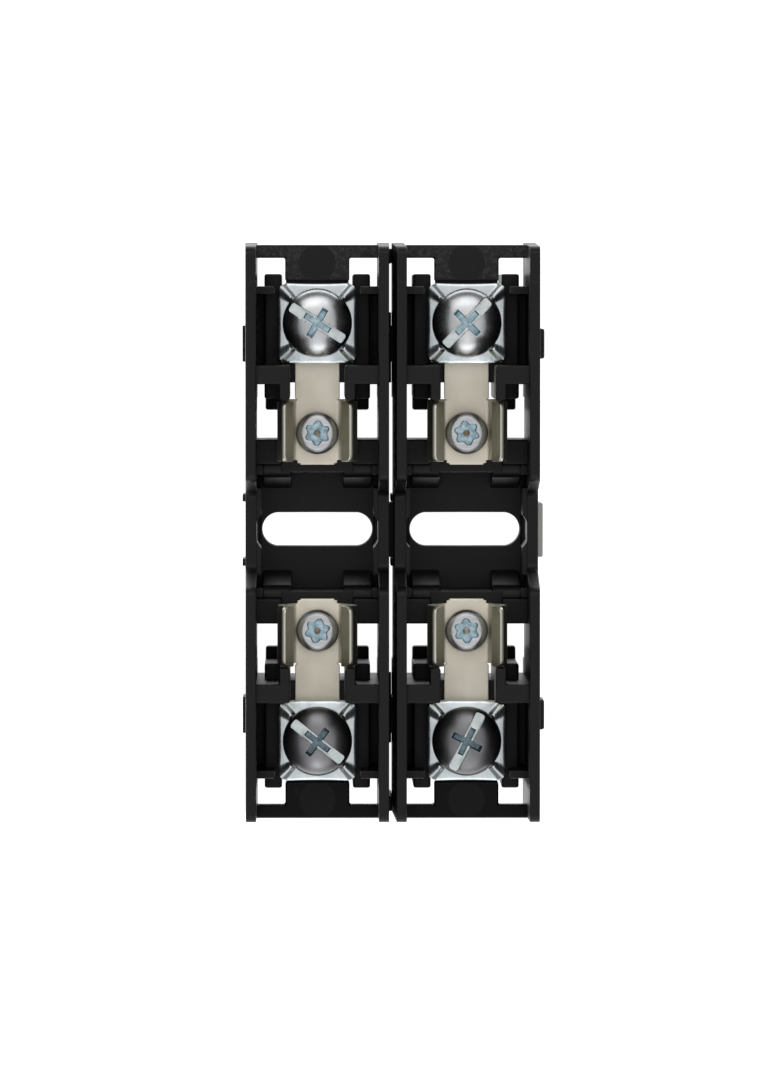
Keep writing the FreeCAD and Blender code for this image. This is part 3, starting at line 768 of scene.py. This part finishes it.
def plate(node, tail, turnedBy):
    size = pressurePlate
    cells = size["cells"]
    lipStart, lipEnd = size["lipHalf"] - size["lipEase"][0], size["lipHalf"] + size["lipEase"][1]
    bm = bmesh.new()
    bmesh.ops.create_grid(bm, x_segments=cells, y_segments=cells, size=1)
    for vert in bm.verts:
        u, v = vert.co.x, vert.co.y
        x = u * (size["waist"] + size["corner"] * v * v)
        y = v * (size["waist"] + size["corner"] * u * u)
        reach = math.hypot(x, y)
        if reach > size["cornerReach"]:          # blunt corners
            pull = (size["cornerReach"] + size["cornerSlack"] * (reach - size["cornerReach"])) / reach
            x, y = x * pull, y * pull
        z = plateHeight(size, x, y, reach, max(abs(u), abs(v)))
        lip = smooth(-v, size["lipFrom"], 1) * (1 - smooth(abs(x), lipStart, lipEnd))
        vert.co = Vector((x, y - size["lipReach"] * lip, z - size["lipFall"] * lip)) * mm
    hole = [vert for vert in bm.verts if math.hypot(vert.co.x, vert.co.y) < size["hole"] * mm]
    bmesh.ops.delete(bm, geom=hole, context="VERTS")
    bmesh.ops.solidify(bm, geom=bm.faces[:], thickness=size["sheet"] * mm)
    roundOff(bm, sharpEdges(bm, 60), size["edgeRound"], 3)
    centre = middle(node)
    turn = Matrix.Rotation(math.radians(turnedBy), 4, "Z")
    bmesh.ops.transform(bm, matrix=Matrix.Translation((centre.x, centre.y, 0)) @ turn, verts=bm.verts)
    showPiece(bm, "pressurePlate" + tail, "clamp_" + tail, node, [zinc], 40)


# clip strip: sizes in mm, for the +Y end of a pole

clipStrip = {
    "sheet": 0.62, "floorHalf": 3.0, "top": 20.0, "bulge": 4.73, "axis": 25.2, "curl": 0.7,
    "bend": 0.55, "bendInset": 0.35, "footAngle": -22, "bulgeAngle": -38, "neckAngle": 45, "lipAngle": 158,
    "lipHalf": 4.25, "lipTop": 31.3, "lipCorner": 0.9, "jawNear": 9.6, "jawFar": 17.65, "neckHalf": 3.0,
    "padNear": 22.7, "padFar": 32.8, "padHalf": 4.85, "tabHalf": 2.3, "tabReach": 8.97, "steps": 8,
    "neckStep": 0.25, "padStep": 0.1, "tabSteps": (0.4, 0.42), "tabInset": 0.3, "edgeRound": 0.14,
    "jawFoot": 0.4,
}


def arcPoints(centreX, centreZ, radius, start, finish, steps):
    for step in range(steps + 1):
        angle = math.radians(start + (finish - start) * step / steps)
        yield centreX + radius * math.cos(angle), centreZ + radius * math.sin(angle)


def jawProfile(size):
    # inner face of the +X jaw from the floor up: bend, bulge round the ferrule, neck, flared lip
    bend, curl, bendX = size["bend"], size["curl"], size["floorHalf"] - size["bendInset"]
    floor = [(bendX, size["top"])]
    foot = list(arcPoints(bendX, size["top"] + bend, bend, -90, size["footAngle"], 4))[1:]
    bulge = list(arcPoints(0, size["axis"], size["bulge"], size["bulgeAngle"], size["neckAngle"], 14))
    neckX, neckZ = bulge[-1]
    out = math.radians(size["neckAngle"])
    centreX, centreZ = neckX + curl * math.cos(out), neckZ + curl * math.sin(out)
    neck = list(arcPoints(centreX, centreZ, curl, 180 + size["neckAngle"], size["lipAngle"], 5))[1:]
    lip = [(size["lipHalf"], size["lipTop"])]
    return floor + foot + bulge + neck + lip


def growFloor(bm, size, reach, goal, halfWidth):
    # carries the floor's edge on along Y, at a new width
    def atEnd(vert):
        return abs(vert.co.y - reach * mm) < 1e-6 and abs(vert.co.z - size["top"] * mm) < 1e-6

    border = [edge for edge in bm.edges if edge.is_boundary and all(atEnd(vert) for vert in edge.verts)]
    grown = bmesh.ops.extrude_edge_only(bm, edges=border)["geom"]
    for vert in pick(grown, bmesh.types.BMVert):
        vert.co.y = goal * mm
        vert.co.x = math.copysign(halfWidth * mm, vert.co.x)


def strip(node, tail, turnedBy):
    size = clipStrip
    half = jawProfile(size)
    profile = [(-x, z) for x, z in reversed(half)] + half
    bm = bmesh.new()
    verts = [bm.verts.new((x * mm, size["jawNear"] * mm, z * mm)) for x, z in profile]
    row = [bm.edges.new(pair) for pair in zip(verts, verts[1:])]
    length = size["jawFar"] - size["jawNear"]
    for step in range(size["steps"]):
        grown = bmesh.ops.extrude_edge_only(bm, edges=row)["geom"]
        fresh = pick(grown, bmesh.types.BMVert)
        bmesh.ops.translate(bm, vec=(0, length / size["steps"] * mm, 0), verts=fresh)
        row = [edge for edge in pick(grown, bmesh.types.BMEdge) if set(edge.verts) <= set(fresh)]
    lipHeight = (size["lipTop"] - 0.01) * mm
    corners = [vert for vert in bm.verts if vert.co.z > lipHeight and len(vert.link_faces) == 1]
    roundOff(bm, corners, size["lipCorner"], 3, affect="VERTICES")

    # from where to where the floor is carried on, and how wide it becomes
    far, near, neck = size["jawFar"], size["jawNear"], size["neckHalf"]
    neckStart, padStart = far + size["neckStep"], size["padNear"] - size["padStep"]
    inset, tab = (near - step for step in size["tabSteps"])
    steps = ((far, neckStart, neck), (neckStart, padStart, neck),
             (padStart, size["padNear"], size["padHalf"]), (size["padNear"], size["padFar"], size["padHalf"]),
             (near, inset, size["floorHalf"] - size["tabInset"]), (inset, tab, size["tabHalf"]),
             (tab, size["tabReach"], size["tabHalf"]))
    for reach, goal, halfWidth in steps:
        growFloor(bm, size, reach, goal, halfWidth)
    bmesh.ops.recalc_face_normals(bm, faces=bm.faces)
    lowest = min(bm.faces, key=lambda face: abs(face.calc_center_median().x) + face.calc_center_median().z)
    if lowest.normal.z < 0:
        bmesh.ops.reverse_faces(bm, faces=bm.faces)
    bmesh.ops.solidify(bm, geom=bm.faces[:], thickness=size["sheet"] * mm)
    roundOff(bm, sharpEdges(bm, 60), size["edgeRound"], 2, False)
    for face in bm.faces:      # 1 on the sprung jaws, which get a darker, shinier copy of the tinned brass: painted shade
        face.material_index = int(face.calc_center_median().z > (size["top"] + size["jawFoot"]) * mm)
    turn = Matrix.Rotation(math.radians(turnedBy), 4, "Z")
    bmesh.ops.transform(bm, matrix=Matrix.Translation((middle(node).x, 0, 0)) @ turn, verts=bm.verts)
    showPiece(bm, "fuseClip" + tail, "holder", node, [clipMetal, shadedJawMetal], 40)


for pole in poles:
    baseModule(pole)
    for end, turnedBy in ends.items():
        tail = f"{end}_{pole}"
        strip("fuse_clip_" + tail, tail, turnedBy)
        clipScrewPiece("clip_screw_" + tail, tail, pole)
        plate("pressure_plate_" + tail, tail, turnedBy)
        terminalScrewPiece("terminal_screw_" + tail, tail)
        for slot in bpy.data.objects["terminal_nut_" + tail].material_slots:
            slot.material = zinc
    print("pole", pole, "done")


# stage, light and camera

studio = {
    "floorSide": 3.0, "floorDrop": 0.00005, "floorGlow": 1.0, "dim": 0.18,
    # each bank of light: how bright, how fast it narrows sideways, and where it begins and is full
    "overhead": {"bright": 0.66, "height": (0.45, 0.95)},
    "far": {"bright": 0.62, "narrowing": 0.35, "reach": (0.12, 0.62), "height": (0.32, 0.66)},
    "near": {"bright": 0.75, "narrowing": 1.7, "reach": (0.10, 0.55)},
    "softboxes": {
        "softboxFar": {"place": (-0.15, 0.75, 0.75), "size": (1.1, 0.5), "power": 1.1},
        "softboxNear": {"place": (0.1, -0.8, 0.6), "size": (0.5, 0.35), "power": 0.6},
    },
    "cameraHeight": 0.965, "offsetX": -0.011, "offsetY": 0.032, "frameHeight": 0.1411,
    "aim": (-0.00013, 0.00024), "sensor": 36, "farthest": 20,
}


def makeStage():
    bm = bmesh.new()
    bmesh.ops.create_grid(bm, x_segments=1, y_segments=1, size=studio["floorSide"] / 2)
    floor = bpy.data.objects.new("floor", toMesh(bm, "floor"))
    floor.location.z = -studio["floorDrop"]
    bpy.context.collection.objects.link(floor)
    paper = Shader("paper")
    tone = paper.blend(paper.noise(14, 3), (0.9, 0.9, 0.9), (0.93, 0.93, 0.93))
    floor.data.materials.append(paper.finish(Base_Color=tone, Roughness=0.9, Emission_Color=(1, 1, 1),
                                             Emission_Strength=studio["floorGlow"]))


def makeSky():
    # light from above, a wide bank at the far side, a narrow one at the near side, dim left and right
    world = bpy.data.worlds.new("studio")
    bpy.context.scene.world = world
    world.use_nodes = True
    sky = Wiring(world.node_tree)
    place = sky.add("ShaderNodeTexCoord", output="Generated")
    x, y, z = (sky.add("ShaderNodeSeparateXYZ", None, {0: place}, output=axis) for axis in range(3))
    overhead, farBank, nearBank = studio["overhead"], studio["far"], studio["near"]
    far = sky.ramp(y - abs(x) * farBank["narrowing"], *farBank["reach"]) * sky.ramp(z, *farBank["height"])
    near = sky.ramp(y * -1 - abs(x) * nearBank["narrowing"], *nearBank["reach"])
    above = sky.ramp(z, *overhead["height"])
    light = above * overhead["bright"] + far * farBank["bright"] + near * nearBank["bright"] + studio["dim"]
    background = world.node_tree.nodes["Background"].inputs
    sky.connect((1, 1, 1), background["Color"])
    sky.connect(light, background["Strength"])


def softLight(name, place, size, power):
    light = bpy.data.lights.new(name, "AREA")
    light.shape = "RECTANGLE"
    light.size, light.size_y = size
    light.energy = power
    lamp = bpy.data.objects.new(name, light)
    lamp.location = place
    lamp.rotation_euler = (-Vector(place)).to_track_quat("-Z", "Y").to_euler()
    bpy.context.collection.objects.link(lamp)


def makeCamera():
    wallTop = Vector(cadBox[1]).z
    aim = Vector((*studio["aim"], wallTop))
    height = studio["cameraHeight"]
    camera = bpy.data.objects.new("camera", bpy.data.cameras.new("camera"))
    camera.location = aim + Vector((studio["offsetX"], studio["offsetY"], 1)) * height
    back = (camera.location - aim).normalized()      # +Y is up in the view
    across = Vector((0, 1, 0)).cross(back).normalized()
    camera.rotation_euler = Matrix((across, back.cross(across), back)).transposed().to_euler()
    camera.data.sensor_width = studio["sensor"]
    camera.data.lens = studio["sensor"] * (aim - camera.location).length / studio["frameHeight"]
    camera.data.clip_end = studio["farthest"]
    bpy.context.collection.objects.link(camera)
    bpy.context.scene.camera = camera


makeStage()
makeSky()
for name, box in studio["softboxes"].items():
    softLight(name, **box)
makeCamera()
bpy.context.scene.view_settings.view_transform = "Standard"
